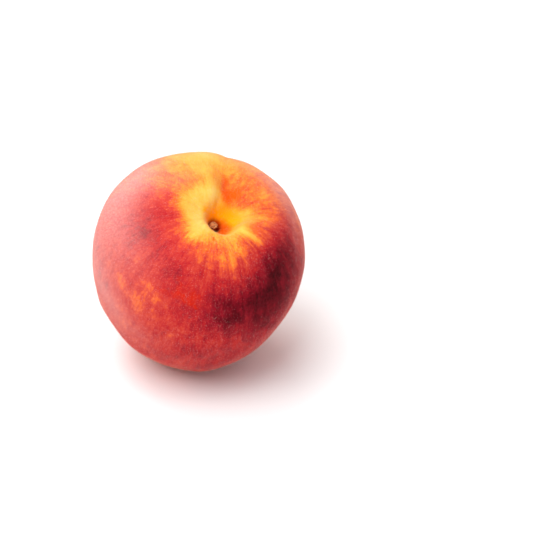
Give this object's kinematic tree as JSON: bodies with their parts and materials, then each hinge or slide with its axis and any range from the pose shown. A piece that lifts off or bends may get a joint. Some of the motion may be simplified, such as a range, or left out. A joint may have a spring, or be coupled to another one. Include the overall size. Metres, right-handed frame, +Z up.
{
  "type": "yellow peach",
  "caption": "Whole yellow peach with a stem cavity, a seam groove, a short stem stub and a small flat spot that it rests on.",
  "frame": {"origin": "middle of the small flat spot that the fruit rests on", "axes": "+Z up from the surface it rests on; the stem end leans forward, towards -Y, and a little to +X"},
  "size_m": [0.0752, 0.0782, 0.0759],
  "materials": {
    "peach_skin": "downy skin, yellow ground with a red blush, short pale hairs, no gloss",
    "stem_wood": "dry brown wood, rough and matt"
  },
  "bodies": {
    "root": {"fruit": "peach_skin", "stem_stub": "stem_wood"}
  },
  "joints": []
}
